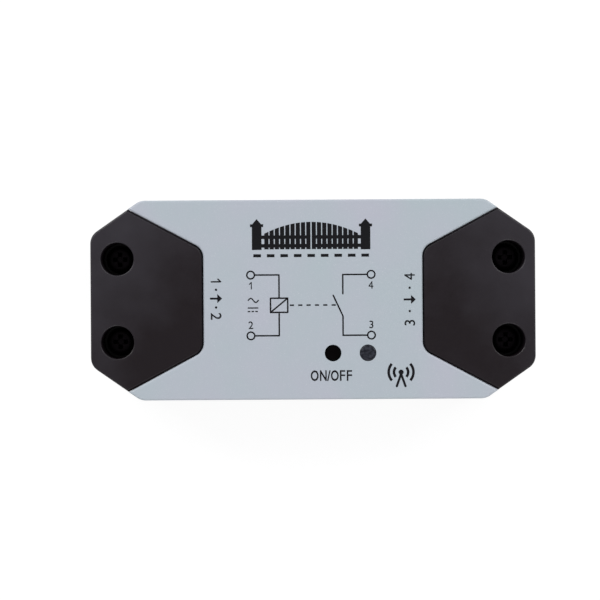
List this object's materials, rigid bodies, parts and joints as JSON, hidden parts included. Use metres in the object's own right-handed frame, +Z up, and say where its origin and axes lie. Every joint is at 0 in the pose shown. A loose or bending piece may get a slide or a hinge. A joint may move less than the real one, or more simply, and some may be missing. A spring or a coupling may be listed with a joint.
{
  "type": "in-line gate controller relay module",
  "caption": "Flat in-line wireless relay module that switches a gate or door opener, with screwed end covers over screw terminals, a push button and a status lamp.",
  "frame": {"origin": "centre of the underside", "axes": "+X along the body towards the output end, +Y across it away from the button's side, +Z up out of the face with the button"},
  "size_m": [0.088, 0.0396, 0.023],
  "materials": {
    "dark_plastic": "fine matt texture",
    "silver_plastic": "satin silver",
    "button_plastic": "smooth",
    "lamp_window": "smoked, clear",
    "black_moulding": "moulded",
    "blackened_steel": "black oxide",
    "zinc_steel": "bright zinc",
    "tinned_brass": "tinned",
    "board_laminate": "solder mask",
    "terminal_plastic": "moulded",
    "bobbin_plastic": "moulded",
    "copper_wire": "enamelled",
    "can_sleeve": "shrunk sleeve",
    "ferrite": "sintered",
    "ceramic": "fired",
    "solder": "bright"
  },
  "bodies": {
    "casing": {"base_shell": "dark_plastic", "board_screws": "zinc_steel", "bridge_rectifier": "black_moulding", "chip_capacitors": "ceramic", "chip_resistors": "black_moulding", "circuit_board": "board_laminate", "coil_transistor": "black_moulding", "converter_chip": "black_moulding", "filter_capacitor": "can_sleeve", "flyback_diode": "black_moulding", "inductor": "ferrite", "input_fuse": "ceramic", "input_terminal_bars": "tinned_brass", "input_terminal_housing": "terminal_plastic", "light_pipe": "lamp_window", "output_terminal_bars": "tinned_brass", "output_terminal_housing": "terminal_plastic", "radio_board": "board_laminate", "radio_shield": "tinned_brass", "regulator_chip": "black_moulding", "relay_base": "bobbin_plastic", "relay_bobbin": "bobbin_plastic", "relay_case": "black_moulding", "relay_coil_pins": "tinned_brass", "relay_core": "zinc_steel", "relay_fixed_contact": "tinned_brass", "relay_winding": "copper_wire", "relay_yoke": "zinc_steel", "solder_joints": "solder", "status_lamp": "bobbin_plastic", "supply_capacitor": "can_sleeve", "surge_suppressor": "black_moulding", "switch_case": "black_moulding", "top_shell": "silver_plastic"},
    "input_cover": {"input_cover": "dark_plastic", "input_cover_screws": "blackened_steel"},
    "output_cover": {"output_cover": "dark_plastic", "output_cover_screws": "blackened_steel"},
    "button": {"button_cap": "button_plastic"},
    "plunger": {"switch_plunger": "button_plastic"},
    "armature": {"relay_armature": "zinc_steel", "relay_contact_spring": "tinned_brass"},
    "input_screw_1": {"input_clamp_screw_1": "zinc_steel"},
    "input_cage_1": {"input_clamp_cage_1": "tinned_brass"},
    "input_screw_2": {"input_clamp_screw_2": "zinc_steel"},
    "input_cage_2": {"input_clamp_cage_2": "tinned_brass"},
    "output_screw_1": {"output_clamp_screw_1": "zinc_steel"},
    "output_cage_1": {"output_clamp_cage_1": "tinned_brass"},
    "output_screw_2": {"output_clamp_screw_2": "zinc_steel"},
    "output_cage_2": {"output_clamp_cage_2": "tinned_brass"}
  },
  "joints": [
    {"name": "button_press", "type": "slide", "parent": "casing", "child": "button", "axis": [0, 0, -1], "range_m": [0, 0.00035], "stiffness_N_per_m": 400, "springref_m": -0.0005},
    {"name": "plunger_press", "type": "slide", "parent": "casing", "child": "plunger", "axis": [0, 0, -1], "range_m": [0, 0.00035]},
    {"name": "armature_swing", "type": "hinge", "parent": "casing", "child": "armature", "pos_m": [0.0181, 0.0055, 0.0183], "axis": [0, -1, 0], "range_deg": [0, 2.5], "stiffness_Nm_per_rad": 0.002, "springref_deg": -11.46},
    {"name": "input_cover_lift", "type": "slide", "parent": "casing", "child": "input_cover", "axis": [0, 0, 1], "range_m": [0, 0.03]},
    {"name": "output_cover_lift", "type": "slide", "parent": "casing", "child": "output_cover", "axis": [0, 0, 1], "range_m": [0, 0.03]},
    {"name": "input_screw_1_turn", "type": "hinge", "parent": "casing", "child": "input_screw_1", "pos_m": [-0.0276, -0.00381, 0.014], "axis": [0, 0, -1], "range_deg": [0, 1440]},
    {"name": "input_cage_1_rise", "type": "slide", "parent": "casing", "child": "input_cage_1", "axis": [0, 0, 1], "range_m": [0, 0.002]},
    {"name": "input_screw_2_turn", "type": "hinge", "parent": "casing", "child": "input_screw_2", "pos_m": [-0.0276, 0.00381, 0.014], "axis": [0, 0, -1], "range_deg": [0, 1440]},
    {"name": "input_cage_2_rise", "type": "slide", "parent": "casing", "child": "input_cage_2", "axis": [0, 0, 1], "range_m": [0, 0.002]},
    {"name": "output_screw_1_turn", "type": "hinge", "parent": "casing", "child": "output_screw_1", "pos_m": [0.0276, 0.00381, 0.014], "axis": [0, 0, -1], "range_deg": [0, 1440]},
    {"name": "output_cage_1_rise", "type": "slide", "parent": "casing", "child": "output_cage_1", "axis": [0, 0, 1], "range_m": [0, 0.002]},
    {"name": "output_screw_2_turn", "type": "hinge", "parent": "casing", "child": "output_screw_2", "pos_m": [0.0276, -0.00381, 0.014], "axis": [0, 0, -1], "range_deg": [0, 1440]},
    {"name": "output_cage_2_rise", "type": "slide", "parent": "casing", "child": "output_cage_2", "axis": [0, 0, 1], "range_m": [0, 0.002]}
  ],
  "couplings": [
    {"joint": "plunger_press", "follows": "button_press", "ratio": 1},
    {"joint": "input_screw_1_turn", "follows": "input_cage_1_rise", "rad_per_m": 12566},
    {"joint": "input_screw_2_turn", "follows": "input_cage_2_rise", "rad_per_m": 12566},
    {"joint": "output_screw_1_turn", "follows": "output_cage_1_rise", "rad_per_m": 12566},
    {"joint": "output_screw_2_turn", "follows": "output_cage_2_rise", "rad_per_m": 12566}
  ]
}
